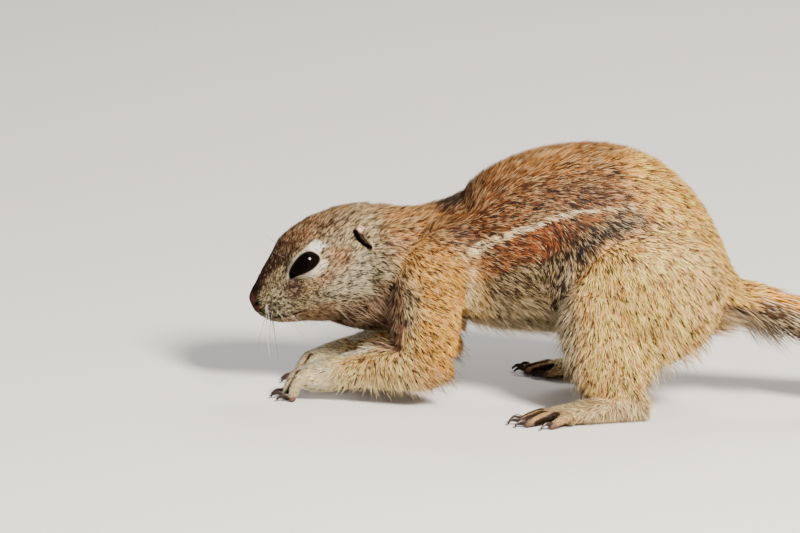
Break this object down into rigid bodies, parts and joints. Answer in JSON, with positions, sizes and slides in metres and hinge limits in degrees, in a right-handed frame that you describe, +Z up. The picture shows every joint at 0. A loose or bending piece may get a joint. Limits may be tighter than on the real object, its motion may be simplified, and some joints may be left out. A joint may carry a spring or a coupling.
{
  "type": "cape ground squirrel",
  "caption": "Life-size still model of a Cape ground squirrel foraging on all fours, sandy bristly coat with a pale side stripe, dark eyes, digging claws and a bushy trailing tail.",
  "frame": {"origin": "on the floor under the middle of the animal's bounding box, tail included", "axes": "+Z up from the floor, +X back along the body from the head towards the tail, +Y towards the animal's right side"},
  "size_m": [0.396, 0.1148, 0.1061],
  "materials": {
    "coat": "short bristly cinnamon-brown coat, matte",
    "pale_coat": "short cream coat of the paws, forearms, shanks and ears, matte",
    "tail_hair": "long dark-banded, white-tipped tail hair, matte",
    "eye": "wet black gloss",
    "claw": "smooth dark horn"
  },
  "bodies": {
    "root": {"claw_fore_left_1": "claw", "claw_fore_left_2": "claw", "claw_fore_left_3": "claw", "claw_fore_left_4": "claw", "claw_fore_right_1": "claw", "claw_fore_right_2": "claw", "claw_fore_right_3": "claw", "claw_fore_right_4": "claw", "claw_hind_left_1": "claw", "claw_hind_left_2": "claw", "claw_hind_left_3": "claw", "claw_hind_left_4": "claw", "claw_hind_left_5": "claw", "claw_hind_right_1": "claw", "claw_hind_right_2": "claw", "claw_hind_right_3": "claw", "claw_hind_right_4": "claw", "claw_hind_right_5": "claw", "ear_left": "pale_coat", "ear_right": "pale_coat", "eye_left": "eye", "eye_right": "eye", "forearm_left": "pale_coat", "forearm_right": "pale_coat", "forepaw_left": "pale_coat", "forepaw_right": "pale_coat", "head": "coat", "hindfoot_left": "pale_coat", "hindfoot_right": "pale_coat", "neck": "coat", "shank_left": "pale_coat", "shank_right": "pale_coat", "tail_base": "tail_hair", "tail_end": "tail_hair", "tail_middle": "tail_hair", "thigh_left": "coat", "thigh_right": "coat", "trunk": "coat", "upper_arm_left": "coat", "upper_arm_right": "coat"}
  },
  "joints": []
}
